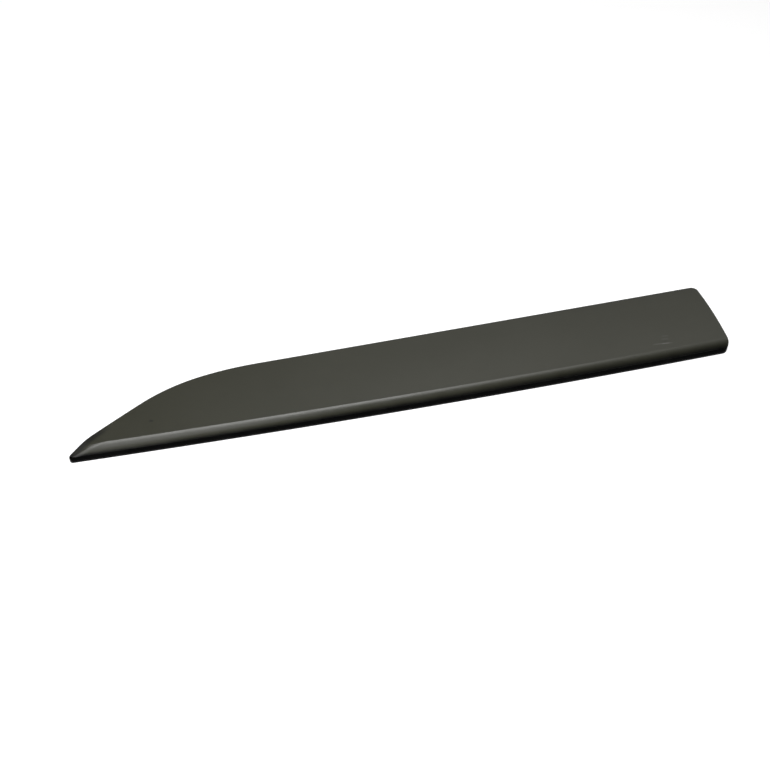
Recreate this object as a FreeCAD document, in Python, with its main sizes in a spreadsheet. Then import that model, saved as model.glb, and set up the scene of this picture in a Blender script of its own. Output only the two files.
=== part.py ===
import FreeCAD, Part

import math
import os
import re

import Sketcher

# Car body side moulding, one open-backed shell moulded in one piece, in millimetres.
# X runs along it from the pointed tip (-X) to the square end (+X). The shoulder edge faces -Y,
# the crisp far edge +Y, the face is up and the rim that lies on the door skin is Z = 0.

SIZES = {
    # outline in plan
    "overall_length": 483.4,
    "overall_width": 70.7,
    "near_edge_radius": 8500.0,
    "far_edge_taper": 1.36,
    "end_radius": 900.0,
    "nose_angle": 32.9,
    "nose_radius": 131.5,
    "lead_radius": 220.0,
    "lead_turn": 10.5,
    "tip_radius": 2.3,
    "near_corner_radius": 6.0,
    "far_corner_radius": 5.0,
    # section across the moulding
    "shoulder_radius": 12.0,
    "shoulder_sink": 2.0,
    "shoulder_overhang": 0.5,
    "shoulder_tilt": 22.5,
    "crease_radius": 1.2,
    "crease_face_tilt": 3.0,
    "face_radius": 400.0,
    "section_drop": 15.0,
    "section_reach": 20.0,
    # fall of the face towards the tip, and softened top edge
    "tip_fall_start": 28.0,
    "tip_fall_radius": 30.0,
    "tip_fall_angle": 19.0,
    "tip_fall_turn": 52.0,
    "edge_radius": 0.9,
    # hollow back
    "skin_thickness": 2.6,
    "wall_thickness": 2.4,
    "rib_thickness": 1.3,
    "rib_setback": 0.8,
    "rib_pitch": 30.0,
    "long_rib_spacing": 24.0,
    "rib_line_offset": -4.0,
    # screw bosses
    "boss_radius": 4.5,
    "boss_pitch": 120.0,
    "pilot_radius": 1.7,
    "pilot_depth": 6.0,
}


# how far from level a wall's normal may lean, and how sharp an edge is before it is rounded
UPRIGHT = 1e-6
CRISP_ANGLE = 26.0


def vec(x, y, z=0.0):
    return FreeCAD.Vector(x, y, z)


def make_sheet(doc):
    """Write the driving dimensions into the spreadsheet, one named cell each."""
    sheet = doc.addObject("Spreadsheet::Sheet", "sizes")
    for row, (name, value) in enumerate(SIZES.items(), start=1):
        sheet.set(f"A{row}", name)
        sheet.set(f"B{row}", str(value))
        sheet.setAlias(f"B{row}", name)
    doc.recompute()
    return sheet


def bind(obj, prop, text):
    """Bind a property to an expression in which each size is a plain name."""
    names = "|".join(SIZES)
    obj.setExpression(prop, re.sub(rf"\b({names})\b", r"sizes.\1", text))


def constrain(sketch, kind, refs, value, name, text):
    """Add one dimension to a sketch and bind it to the sheet."""
    index = sketch.addConstraint(Sketcher.Constraint(kind, *refs, value))
    sketch.renameConstraint(index, name)
    bind(sketch, f"Constraints.{name}", text)


def arc(centre, radius, start, end):
    """Arc geometry, counter-clockwise from start to end in degrees."""
    circle = Part.Circle(vec(*centre), vec(0, 0, 1), radius)
    return Part.ArcOfCircle(circle, math.radians(start), math.radians(end))


def on_circle(centre, radius, angle):
    a = math.radians(angle)
    return centre[0] + radius * math.cos(a), centre[1] + radius * math.sin(a)


def bearing(centre, point):
    """Angle in degrees of a point seen from a centre."""
    return math.degrees(math.atan2(point[1] - centre[1], point[0] - centre[0]))


def meet(first, first_radius, second, second_radius):
    """Point where two circles cross, the one to the left when looking from the first centre."""
    apart = math.dist(first, second)
    along = (apart**2 + first_radius**2 - second_radius**2) / (2 * apart)
    turn = math.degrees(math.acos(along / first_radius))
    return on_circle(first, first_radius, bearing(first, second) + turn)


def solve_outline(s):
    """Work out where the outline's arcs and lines start, so the sketch opens solved."""
    half, top = s.overall_length / 2, s.overall_width / 2
    near_c = (0.0, s.near_edge_radius - top)
    tip_x = s.tip_radius - half
    tip_c = (tip_x, near_c[1] - math.sqrt((s.near_edge_radius - s.tip_radius) ** 2 - tip_x**2))
    cf = (half - s.far_corner_radius, top - s.far_corner_radius)
    far_start = on_circle(cf, s.far_corner_radius, 90 + s.far_edge_taper)
    end_c = (half - s.end_radius, cf[1])
    cn = meet(near_c, s.near_edge_radius - s.near_corner_radius, end_c, s.end_radius - s.near_corner_radius)
    nose_start = on_circle(tip_c, s.tip_radius, 90 + s.nose_angle)
    # a trial chain of nose line, nose arc and lead arc, then the line is made as long as it needs
    blend = 90 + s.far_edge_taper + s.lead_turn
    nose_c = on_circle(nose_start, s.nose_radius, s.nose_angle - 90)
    lead_c = on_circle(nose_c, s.lead_radius - s.nose_radius, blend - 180)
    lead_point = on_circle(lead_c, s.lead_radius, 90 + s.far_edge_taper)
    taper, nose = math.radians(s.far_edge_taper), math.radians(s.nose_angle)
    across = (far_start[1] - lead_point[1]) * math.cos(taper)
    across -= (far_start[0] - lead_point[0]) * math.sin(taper)
    run = across / math.sin(nose - taper)
    step = (run * math.cos(nose), run * math.sin(nose))
    return {
        "near_c": near_c,
        "tip_c": tip_c,
        "corner_near_c": cn,
        "end_c": end_c,
        "corner_far_c": cf,
        "far_start": far_start,
        "lead_point": (lead_point[0] + step[0], lead_point[1] + step[1]),
        "lead_c": (lead_c[0] + step[0], lead_c[1] + step[1]),
        "nose_c": (nose_c[0] + step[0], nose_c[1] + step[1]),
        "nose_start": nose_start,
        "nose_end": (nose_start[0] + step[0], nose_start[1] + step[1]),
        "blend": blend,
    }


def make_outline(doc, s):
    """Plan outline: nine tangent lines and arcs, near edge first, counter-clockwise."""
    o = solve_outline(s)
    sk = doc.addObject("Sketcher::SketchObject", "outline")
    near_from = bearing(o["near_c"], o["tip_c"])
    near_to = bearing(o["near_c"], o["corner_near_c"])
    taper = s.far_edge_taper
    end_from = bearing(o["end_c"], o["corner_near_c"])
    pieces = [
        arc(o["near_c"], s.near_edge_radius, near_from, near_to),
        arc(o["corner_near_c"], s.near_corner_radius, near_to, end_from),
        arc(o["end_c"], s.end_radius, end_from, 0),
        arc(o["corner_far_c"], s.far_corner_radius, 0, 90 + taper),
        Part.LineSegment(vec(*o["far_start"]), vec(*o["lead_point"])),
        arc(o["lead_c"], s.lead_radius, 90 + taper, o["blend"]),
        arc(o["nose_c"], s.nose_radius, o["blend"], 90 + s.nose_angle),
        Part.LineSegment(vec(*o["nose_end"]), vec(*o["nose_start"])),
        arc(o["tip_c"], s.tip_radius, 90 + s.nose_angle, near_from),
    ]
    sk.addGeometry(pieces, False)
    near, cn, end, cf, far, lead, nose, line, tip = range(9)
    start, stop, centre = 1, 2, 3
    for first, second in zip(range(9), [1, 2, 3, 4, 5, 6, 7, 8, 0]):
        sk.addConstraint(Sketcher.Constraint("Tangent", first, stop, second, start))
    sk.addConstraint(Sketcher.Constraint("PointOnObject", near, centre, -2))
    constrain(sk, "Radius", (near,), s.near_edge_radius, "near_r", "near_edge_radius")
    constrain(sk, "Radius", (cn,), s.near_corner_radius, "corner_near_r", "near_corner_radius")
    constrain(sk, "Radius", (cf,), s.far_corner_radius, "corner_far_r", "far_corner_radius")
    constrain(sk, "Radius", (lead,), s.lead_radius, "lead_r", "lead_radius")
    constrain(sk, "Radius", (nose,), s.nose_radius, "nose_r", "nose_radius")
    constrain(sk, "Radius", (tip,), s.tip_radius, "tip_r", "tip_radius")
    axis_y = s.near_edge_radius - s.overall_width / 2
    text = "near_edge_radius - overall_width / 2"
    constrain(sk, "DistanceY", (-1, 1, near, centre), axis_y, "near_centre", text)
    right = s.overall_length / 2 - s.far_corner_radius
    text = "overall_length / 2 - far_corner_radius"
    constrain(sk, "DistanceX", (-1, 1, cf, centre), right, "far_end", text)
    sk.addConstraint(Sketcher.Constraint("Horizontal", end, centre, cf, centre))
    constrain(sk, "Radius", (end,), s.end_radius, "end_r", "end_radius")
    top = s.overall_width / 2 - s.far_corner_radius
    text = "overall_width / 2 - far_corner_radius"
    constrain(sk, "DistanceY", (-1, 1, cf, centre), top, "far_side", text)
    lean = math.radians(taper)
    constrain(sk, "Angle", (far,), lean - math.pi, "taper", "far_edge_taper * 1 deg - 180 deg")
    span = s.lead_radius * math.sin(math.radians(o["blend"] - 90))
    text = "lead_radius * sin((far_edge_taper + lead_turn) * 1 deg)"
    constrain(sk, "DistanceX", (lead, stop, lead, centre), span, "lead_end", text)
    lean = math.radians(s.nose_angle)
    constrain(sk, "Angle", (line,), lean - math.pi, "nose", "nose_angle * 1 deg - 180 deg")
    tip_x = s.overall_length / 2 - s.tip_radius
    text = "overall_length / 2 - tip_radius"
    constrain(sk, "DistanceX", (tip, centre, -1, 1), tip_x, "tip_centre", text)
    return sk


def solve_section(s):
    """Centres of the shoulder, crease and face arcs, across the moulding at X = 0."""
    side = -s.overall_width / 2 - s.shoulder_overhang
    shoulder_c = (side + s.shoulder_radius, -s.shoulder_sink)
    inner = s.shoulder_radius - s.crease_radius
    crease_c = on_circle(shoulder_c, inner, 90 + s.shoulder_tilt)
    inner = s.face_radius - s.crease_radius
    face_c = on_circle(crease_c, inner, s.crease_face_tilt - 90)
    return shoulder_c, crease_c, face_c


def make_section(doc, s):
    """Section across the moulding at X = 0, drawn in plan and stood up on the YZ plane."""
    side = -s.overall_width / 2 - s.shoulder_overhang
    far = s.overall_width / 2 + s.section_reach
    shoulder_c, crease_c, face_c = solve_section(s)
    tilt, face_tilt = s.shoulder_tilt, s.crease_face_tilt
    far_z = face_c[1] + math.sqrt(s.face_radius**2 - (far - face_c[0]) ** 2)
    low = -s.section_drop
    sk = doc.addObject("Sketcher::SketchObject", "section")
    crease_end = on_circle(crease_c, s.crease_radius, 90 + face_tilt)
    pieces = [
        Part.LineSegment(vec(side, shoulder_c[1]), vec(side, low)),
        Part.LineSegment(vec(side, low), vec(far, low)),
        Part.LineSegment(vec(far, low), vec(far, far_z)),
        arc(face_c, s.face_radius, bearing(face_c, (far, far_z)), bearing(face_c, crease_end)),
        arc(crease_c, s.crease_radius, 90 + face_tilt, 90 + tilt),
        arc(shoulder_c, s.shoulder_radius, 90 + tilt, 180),
    ]
    sk.addGeometry(pieces, False)
    wall, base, back, face, crease, shoulder = range(6)
    start, stop, centre = 1, 2, 3
    for first, second in ((wall, base), (base, back), (back, face)):
        sk.addConstraint(Sketcher.Constraint("Coincident", first, stop, second, start))
    for first, second in ((face, crease), (crease, shoulder), (shoulder, wall)):
        sk.addConstraint(Sketcher.Constraint("Tangent", first, stop, second, start))
    sk.addConstraint(Sketcher.Constraint("Vertical", wall))
    sk.addConstraint(Sketcher.Constraint("Horizontal", base))
    sk.addConstraint(Sketcher.Constraint("Vertical", back))
    text = "shoulder_sink"
    constrain(sk, "DistanceY", (shoulder, centre, -1, 1), s.shoulder_sink, "sink", text)
    constrain(sk, "Radius", (face,), s.face_radius, "face_r", "face_radius")
    constrain(sk, "Radius", (crease,), s.crease_radius, "crease_r", "crease_radius")
    constrain(sk, "Radius", (shoulder,), s.shoulder_radius, "shoulder_r", "shoulder_radius")
    text = "overall_width / 2 + shoulder_overhang"
    constrain(sk, "DistanceX", (wall, start, -1, 1), -side, "near_side", text)
    text = "overall_width / 2 + section_reach"
    constrain(sk, "DistanceX", (-1, 1, back, start), far, "far_side", text)
    constrain(sk, "DistanceY", (base, start, -1, 1), -low, "drop", "section_drop")
    # the crease starts where the shoulder leans by its tilt, and ends at the face's own tilt
    span = s.shoulder_radius * math.sin(math.radians(tilt))
    text = "shoulder_radius * sin(shoulder_tilt * 1 deg)"
    constrain(sk, "DistanceX", (crease, stop, shoulder, centre), span, "crease_at", text)
    span = s.crease_radius * math.sin(math.radians(face_tilt))
    text = "crease_radius * sin(crease_face_tilt * 1 deg)"
    constrain(sk, "DistanceX", (crease, start, crease, centre), span, "face_at", text)
    sk.Placement = FreeCAD.Placement(vec(0, 0), FreeCAD.Rotation(vec(0, 1), vec(0, 0, 1), vec(1, 0)))
    return sk


def make_prism(doc, name, source):
    """Extrude a flat outline straight up from the rim, to above the highest point of the face."""
    prism = doc.addObject("Part::Extrusion", name)
    prism.Base = source
    prism.DirMode = "Custom"
    prism.Dir = vec(0, 0, 1)
    bind(prism, "LengthFwd", "shoulder_radius + section_drop")
    prism.Solid = True
    return prism


def make_crown(doc, name, source):
    """Sweep a section round the centre of the near edge's long arc."""
    crown = doc.addObject("Part::Revolution", name)
    crown.Source = source
    crown.Axis = vec(0, 0, 1)
    bind(crown, "Base.y", "near_edge_radius - overall_width / 2")
    reach = "overall_length / 2 + section_reach"
    radius = "near_edge_radius - overall_width - section_reach"
    bind(crown, "Angle", f"2 * asin(({reach}) / ({radius}))")
    crown.Symmetric = True
    crown.Solid = True
    return crown


def make_inset(doc, name, source, size):
    """Offset a closed outline inwards by one of the wall sizes."""
    inset = doc.addObject("Part::Offset2D", name)
    inset.Source = source
    inset.Join = "Intersection"
    bind(inset, "Value", f"-{size}")
    return inset


def make_common(doc, name, first, second):
    """Keep what two solids share."""
    common = doc.addObject("Part::MultiCommon", name)
    common.Shapes = [first, second]
    return common


def make_fall_line(doc, name, s, depth):
    """Line on which the face falls towards the tip, closed above it, some depth under the face."""
    centre = solve_section(s)[2]
    sk = doc.addObject("Sketcher::SketchObject", name)
    begin = s.tip_fall_start - s.overall_length / 2
    angle = math.radians(s.tip_fall_angle)
    arc_end = (begin - s.tip_fall_radius * math.sin(angle), -s.tip_fall_radius * (1 - math.cos(angle)))
    reach = -s.overall_length / 2 - s.tip_fall_start
    low = arc_end[1] - (arc_end[0] - reach) * math.tan(angle)
    high = s.section_drop
    pieces = [
        arc((begin, -s.tip_fall_radius), s.tip_fall_radius, 90, 90 + s.tip_fall_angle),
        Part.LineSegment(vec(*arc_end), vec(reach, low)),
        Part.LineSegment(vec(reach, low), vec(reach, high)),
        Part.LineSegment(vec(reach, high), vec(begin, high)),
        Part.LineSegment(vec(begin, high), vec(begin, 0)),
    ]
    sk.addGeometry(pieces, False)
    curve, slope, end, lid, wall = range(5)
    start, stop, mid = 1, 2, 3
    sk.addConstraint(Sketcher.Constraint("Tangent", curve, stop, slope, start))
    for first, second in ((slope, end), (end, lid), (lid, wall)):
        sk.addConstraint(Sketcher.Constraint("Coincident", first, stop, second, start))
    sk.addConstraint(Sketcher.Constraint("Coincident", wall, stop, curve, start))
    sk.addConstraint(Sketcher.Constraint("Vertical", end))
    sk.addConstraint(Sketcher.Constraint("Horizontal", lid))
    sk.addConstraint(Sketcher.Constraint("Vertical", wall))
    sk.addConstraint(Sketcher.Constraint("PointOnObject", curve, start, -1))
    sk.addConstraint(Sketcher.Constraint("Vertical", curve, mid, curve, start))
    constrain(sk, "Radius", (curve,), s.tip_fall_radius, "fall_r", "tip_fall_radius")
    constrain(sk, "Angle", (slope,), angle - math.pi, "fall", "tip_fall_angle * 1 deg - 180 deg")
    text = "overall_length / 2 - tip_fall_start"
    constrain(sk, "DistanceX", (curve, start, -1, 1), -begin, "fall_start", text)
    text = "overall_length / 2 + tip_fall_start"
    constrain(sk, "DistanceX", (end, start, -1, 1), -reach, "fall_reach", text)
    constrain(sk, "DistanceY", (-1, 1, lid, start), high, "lid_height", "section_drop")
    # it lies along the crowned face, touching it midway between the rim and the nose
    touch = s.tip_fall_start * math.tan(math.radians(s.nose_angle)) / 2 - s.overall_width / 2
    lean = math.asin((centre[0] - touch) / s.face_radius)
    height = centre[1] + s.face_radius * math.cos(lean) - depth
    upright = FreeCAD.Rotation(vec(1, 0), vec(0, 0, 1), vec(0, -1))
    tilted = FreeCAD.Rotation(vec(1, 0), math.degrees(lean)).multiply(upright)
    # seen from above it is turned a little towards the near edge, about where the fall begins
    turned = FreeCAD.Rotation(vec(0, 0, 1), s.tip_fall_turn).multiply(tilted)
    sk.Placement = FreeCAD.Placement(vec(begin, touch, height) - turned.multVec(vec(begin, 0)), turned)
    return sk


def make_fall(doc, name, line):
    """Cutter that takes off what stands above the falling line."""
    cutter = doc.addObject("Part::Extrusion", name)
    cutter.Base = line
    cutter.DirMode = "Normal"
    bind(cutter, "LengthFwd", "overall_width")
    cutter.Symmetric = True
    cutter.Solid = True
    return cutter


def soften_top(doc, name, base):
    """Round the crisp top edge all round, where an upright wall meets the crowned face."""
    doc.recompute()
    fillet = doc.addObject("Part::Fillet", name)
    fillet.Base = base
    radius = doc.sizes.edge_radius
    edges = []
    for index, edge in enumerate(base.Shape.Edges, start=1):
        middle = edge.valueAt((edge.FirstParameter + edge.LastParameter) / 2)
        normals = [normal_at(face, middle) for face in base.Shape.ancestorsOfType(edge, Part.Face)]
        upright = sorted(abs(normal.z) < UPRIGHT for normal in normals)
        crisp = math.degrees(normals[0].getAngle(normals[-1])) > CRISP_ANGLE
        if middle.z > radius and upright == [False, True] and crisp:
            edges.append((index, radius, radius))
    fillet.Edges = edges
    return fillet


def normal_at(face, point):
    """Normal of a face at a point on it."""
    u, v = face.Surface.parameter(point)
    return face.normalAt(u, v)


def make_ribs(doc, s):
    """Ribs that cross the hollow: a row of short ones and two long ones, stopping short of the rim."""
    ribs = []
    steps = int(s.overall_length / 2 / s.rib_pitch)
    for step in range(-steps, steps + 1):
        rib = doc.addObject("Part::Box", "cross_rib")
        bind(rib, "Length", "rib_thickness")
        bind(rib, "Width", "overall_width")
        bind(rib, "Height", "shoulder_radius")
        bind(rib, "Placement.Base.x", f"{step} * rib_pitch - rib_thickness / 2")
        bind(rib, "Placement.Base.y", "-overall_width / 2")
        bind(rib, "Placement.Base.z", "rib_setback")
        ribs.append(rib)
    for side in (-1, 1):
        rib = doc.addObject("Part::Box", "long_rib")
        bind(rib, "Length", "overall_length")
        bind(rib, "Width", "rib_thickness")
        bind(rib, "Height", "shoulder_radius")
        bind(rib, "Placement.Base.x", "-overall_length / 2")
        text = f"rib_line_offset + {side} * long_rib_spacing / 2 - rib_thickness / 2"
        bind(rib, "Placement.Base.y", text)
        bind(rib, "Placement.Base.z", "rib_setback")
        ribs.append(rib)
    return ribs


def make_bosses(doc):
    """Four round screw bosses on the rib crossings' middle line, their faces flush with the rim."""
    bosses, pilots = [], []
    for step in (-1.5, -0.5, 0.5, 1.5):
        for group, name, radius, height in (
            (bosses, "boss", "boss_radius", "shoulder_radius"),
            (pilots, "pilot_hole", "pilot_radius", "pilot_depth"),
        ):
            post = doc.addObject("Part::Cylinder", name)
            bind(post, "Radius", radius)
            bind(post, "Height", height)
            bind(post, "Placement.Base.x", f"{step} * boss_pitch")
            bind(post, "Placement.Base.y", "rib_line_offset")
            group.append(post)
    return bosses, pilots


def join(doc, name, shapes):
    group = doc.addObject("Part::MultiFuse", name)
    group.Shapes = shapes
    return group


def cut(doc, name, base, tool):
    result = doc.addObject("Part::Cut", name)
    result.Base = base
    result.Tool = tool
    return result


def check(doc):
    """Stop if any object failed, so that nothing broken is written."""
    for obj in doc.Objects:
        if {"Invalid", "Error"} & set(obj.State):
            raise RuntimeError(f"{obj.Name} is {obj.State}")
        if hasattr(obj, "Shape") and (obj.Shape.isNull() or not obj.Shape.isValid()):
            raise RuntimeError(f"{obj.Name} has no valid shape")


def main():
    doc = FreeCAD.newDocument("side_moulding")
    sheet = make_sheet(doc)
    outline = make_outline(doc, sheet)
    section = make_section(doc, sheet)
    inner_outline = make_inset(doc, "inner_outline", outline, "wall_thickness")
    inner_section = make_inset(doc, "inner_section", section, "skin_thickness")
    outer_blank = make_prism(doc, "outer_blank", outline)
    outer_crown = make_crown(doc, "outer_crown", section)
    body = make_common(doc, "body", outer_blank, outer_crown)
    softened = soften_top(doc, "softened", body)
    fall_line = make_fall_line(doc, "fall_line", sheet, 0.0)
    fallen = cut(doc, "fallen", softened, make_fall(doc, "tip_fall", fall_line))
    inner_blank = make_prism(doc, "inner_blank", inner_outline)
    inner_crown = make_crown(doc, "inner_crown", inner_section)
    hollow = make_common(doc, "hollow", inner_blank, inner_crown)
    inner_line = make_fall_line(doc, "inner_fall_line", sheet, sheet.skin_thickness)
    hollow = cut(doc, "fallen_hollow", hollow, make_fall(doc, "inner_fall", inner_line))
    bosses, pilots = make_bosses(doc)
    kept = join(doc, "kept", make_ribs(doc, sheet) + bosses)
    core = cut(doc, "core", hollow, kept)
    shell = cut(doc, "shell", fallen, core)
    moulding = cut(doc, "moulding", shell, join(doc, "pilot_holes", pilots))
    moulding.Label = "moulding"
    doc.recompute()
    check(doc)
    if len(moulding.Shape.Solids) != 1:
        raise RuntimeError("the moulding is not one solid")
    os.makedirs("parts", exist_ok=True)
    moulding.Shape.exportStep(f"parts/{moulding.Label}.step")


main()
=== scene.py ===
import logging
import math
from dataclasses import dataclass, field
from enum import Enum

import bpy
import numpy as np
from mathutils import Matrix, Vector
from mathutils.geometry import delaunay_2d_cdt


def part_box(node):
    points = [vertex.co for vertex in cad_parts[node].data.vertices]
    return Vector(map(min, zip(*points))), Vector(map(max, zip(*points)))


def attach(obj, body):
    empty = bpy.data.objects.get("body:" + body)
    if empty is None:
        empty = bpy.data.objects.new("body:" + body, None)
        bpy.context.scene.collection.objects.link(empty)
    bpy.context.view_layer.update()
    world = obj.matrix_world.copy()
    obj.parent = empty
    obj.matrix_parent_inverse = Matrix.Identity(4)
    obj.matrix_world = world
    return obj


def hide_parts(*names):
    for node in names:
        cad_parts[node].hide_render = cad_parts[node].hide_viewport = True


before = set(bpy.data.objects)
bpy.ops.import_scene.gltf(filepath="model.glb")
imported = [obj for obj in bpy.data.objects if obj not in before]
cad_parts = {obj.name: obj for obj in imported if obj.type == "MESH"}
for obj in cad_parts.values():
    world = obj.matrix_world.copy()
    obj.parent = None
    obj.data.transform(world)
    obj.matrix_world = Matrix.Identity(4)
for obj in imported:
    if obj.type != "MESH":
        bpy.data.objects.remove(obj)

logging.basicConfig(level=logging.INFO, format="%(message)s")
LOG = logging.getLogger("side_moulding")

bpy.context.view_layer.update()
MM = 0.001
MESH_TOLERANCE = 1e-5
LEAST_SQUARE = 1e-8

Array = np.ndarray
Pair = tuple[float, float]
Colour = tuple[float, float, float, float]
Socket = bpy.types.NodeSocket


class NodeName(Enum):
    """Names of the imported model's node and of the body that it rides on."""

    MOULDING = "moulding"
    BODY = "root"
    SLOT = "moulded_plastic"


class Zone(Enum):
    """Finishes of the shell, each with the number of its material slot."""

    PAINTED = 0
    # painted shade along the foot of the wall
    DARK_EDGE = 1
    BARE = 2


def arc(centre: Pair | Array, radius: float, start: float, end: float, steps: int) -> Array:
    """Sample a counter-clockwise arc of the outline, without its last point.

    Args:
        centre: Its centre.
        radius: Its radius.
        start: Angle at which it begins, in degrees.
        end: Angle at which it ends.
        steps: How many points.

    Returns:
        Rows of x, y, outward normal x and normal y.
    """
    turn = np.radians(np.linspace(start, end, steps, endpoint=False))
    normal = np.column_stack([np.cos(turn), np.sin(turn)])
    return np.hstack([np.array(centre) + radius * normal, normal])


def straight(start: Pair | Array, end: Pair | Array, steps: int) -> Array:
    """Sample a straight run of the outline, without its last point.

    Args:
        start: Its first point.
        end: Its last point.
        steps: How many points.

    Returns:
        Rows of x, y, outward normal x and normal y.
    """
    along = np.array(end) - np.array(start)
    share = np.linspace(0.0, 1.0, steps, endpoint=False)[:, None]
    points = np.array(start) + share * along
    normal = np.array([along[1], -along[0]]) / np.hypot(*along)
    return np.hstack([points, np.tile(normal, (steps, 1))])


def place(name: str, data: bpy.types.ID) -> bpy.types.Object:
    """Put a new object into the scene.

    Args:
        name: Its name.
        data: Its mesh, lamp or camera.

    Returns:
        The object.
    """
    made = bpy.data.objects.new(name, data)
    bpy.context.scene.collection.objects.link(made)
    return made


def on_circle(centre: Pair, radius: float, angle: float) -> Pair:
    """Point of a circle at an angle in degrees."""
    turn = math.radians(angle)
    return centre[0] + radius * math.cos(turn), centre[1] + radius * math.sin(turn)


def bearing(centre: Pair, point: Pair) -> float:
    """Angle in degrees of a point seen from a centre."""
    return math.degrees(math.atan2(point[1] - centre[1], point[0] - centre[0]))


@dataclass(frozen=True)
class Outline:
    """Plan outline of the moulding in millimetres: nine tangent arcs and runs."""

    length: float
    width: float
    near_edge_radius: float = 8500.0
    far_edge_taper: float = 1.36
    end_radius: float = 900.0
    nose_angle: float = 32.9
    nose_radius: float = 131.5
    lead_radius: float = 220.0
    lead_turn: float = 10.5
    tip_radius: float = 2.3
    near_corner_radius: float = 6.0
    far_corner_radius: float = 5.0
    spacing: float = 3.0
    corner_steps: int = 14
    fold_slack: float = 0.023

    @property
    def near_centre(self) -> Pair:
        """Centre of the long near edge's arc."""
        return 0.0, self.near_edge_radius - self.width / 2

    def samples(self) -> Array:
        """Sample the nine arcs and runs, near edge first and counter-clockwise.

        Returns:
            Rows of x, y, outward normal x and normal y.
        """
        half, top = self.length / 2, self.width / 2
        near_c = self.near_centre
        tip_x = self.tip_radius - half
        drop = math.sqrt((self.near_edge_radius - self.tip_radius) ** 2 - tip_x**2)
        tip_c = (tip_x, near_c[1] - drop)
        far_c = (half - self.far_corner_radius, top - self.far_corner_radius)
        end_c = (half - self.end_radius, far_c[1])
        # the near corner's centre, from its triangle with the near edge's and the end's
        reach, apart = self.near_edge_radius - self.near_corner_radius, math.dist(near_c, end_c)
        end_reach = self.end_radius - self.near_corner_radius
        along = (apart**2 + reach**2 - end_reach**2) / (2 * apart)
        turn = math.degrees(math.acos(along / reach))
        corner_c = on_circle(near_c, reach, bearing(near_c, end_c) + turn)
        taper, nose = self.far_edge_taper, self.nose_angle
        blend = 90 + taper + self.lead_turn
        near_from, near_to = bearing(near_c, tip_c), bearing(near_c, corner_c)
        end_from = bearing(end_c, corner_c)
        nose_start = on_circle(tip_c, self.tip_radius, 90 + nose)
        far_start = on_circle(far_c, self.far_corner_radius, 90 + taper)
        # a trial nose arc and lead arc, then the nose run is made as long as they need
        nose_c = on_circle(nose_start, self.nose_radius, nose - 90)
        lead_c = on_circle(nose_c, self.lead_radius - self.nose_radius, blend - 180)
        lead_end = on_circle(lead_c, self.lead_radius, 90 + taper)
        lean, rise = math.radians(taper), math.radians(nose)
        off_x, off_y = far_start[0] - lead_end[0], far_start[1] - lead_end[1]
        run = (off_y * math.cos(lean) - off_x * math.sin(lean)) / math.sin(rise - lean)
        step = np.array([run * math.cos(rise), run * math.sin(rise)])
        nose_c, lead_c, lead_end = (np.array(point) + step for point in (nose_c, lead_c, lead_end))
        turns, far_run = self.corner_steps, self.steps_for(math.dist(far_start, lead_end))
        stretches = [
            arc(near_c, self.near_edge_radius, near_from, near_to, self.steps_for(self.length)),
            arc(corner_c, self.near_corner_radius, near_to, end_from, turns),
            arc(end_c, self.end_radius, end_from, 0.0, self.steps_for(self.width)),
            arc(far_c, self.far_corner_radius, 0.0, 90 + taper, turns),
            straight(far_start, lead_end, far_run),
            arc(lead_c, self.lead_radius, 90 + taper, blend, turns),
            arc(nose_c, self.nose_radius, blend, 90 + nose, 2 * turns),
            straight(np.array(nose_start) + step, nose_start, self.steps_for(run)),
            arc(tip_c, self.tip_radius, 90 + nose, near_from + 360, turns),
        ]
        return np.vstack(stretches)

    def steps_for(self, length: float) -> int:
        """Number of points along a long stretch."""
        return max(2, round(length / self.spacing))

    def inside(self, points: Array) -> tuple[Array, Array]:
        """Measure how far points lie inside the outline.

        Args:
            points: Rows of x and y.

        Returns:
            Distance of each point to the outline, negative outside, and rows of x, y and z of
            the outward normal there.
        """
        ring = self.samples()
        start, normal = ring[:, :2], ring[:, 2:]
        along = np.roll(start, -1, axis=0) - start
        length = np.hypot(along[:, 0], along[:, 1])
        near, side = np.empty(len(points)), np.zeros((len(points), 3))
        for index, point in enumerate(points):
            share = np.clip(((point - start) * along).sum(axis=1) / length**2, 0.0, 1.0)
            away = point - (start + share[:, None] * along)
            gap = np.hypot(away[:, 0], away[:, 1])
            best = int(gap.argmin())
            following = (best + 1) % len(ring)
            mixed = normal[best] * (1 - share[best]) + normal[following] * share[best]
            side[index, :2] = mixed / np.hypot(*mixed)
            outward = along[best, 1] * away[best, 0] - along[best, 0] * away[best, 1]
            near[index] = gap[best] if outward <= 0 else -gap[best]
        return near, side

    def ring(self, inset: float) -> Array:
        """Closed row of points some way inside the outline.

        Args:
            inset: Distance inwards.

        Returns:
            Rows of x and y, without points that tight corners would fold over.
        """
        samples = self.samples()
        moved = samples[:, :2] - inset * samples[:, 2:]
        if inset < self.tip_radius:
            return moved
        return moved[self.inside(moved)[0] > inset - self.fold_slack]


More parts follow.
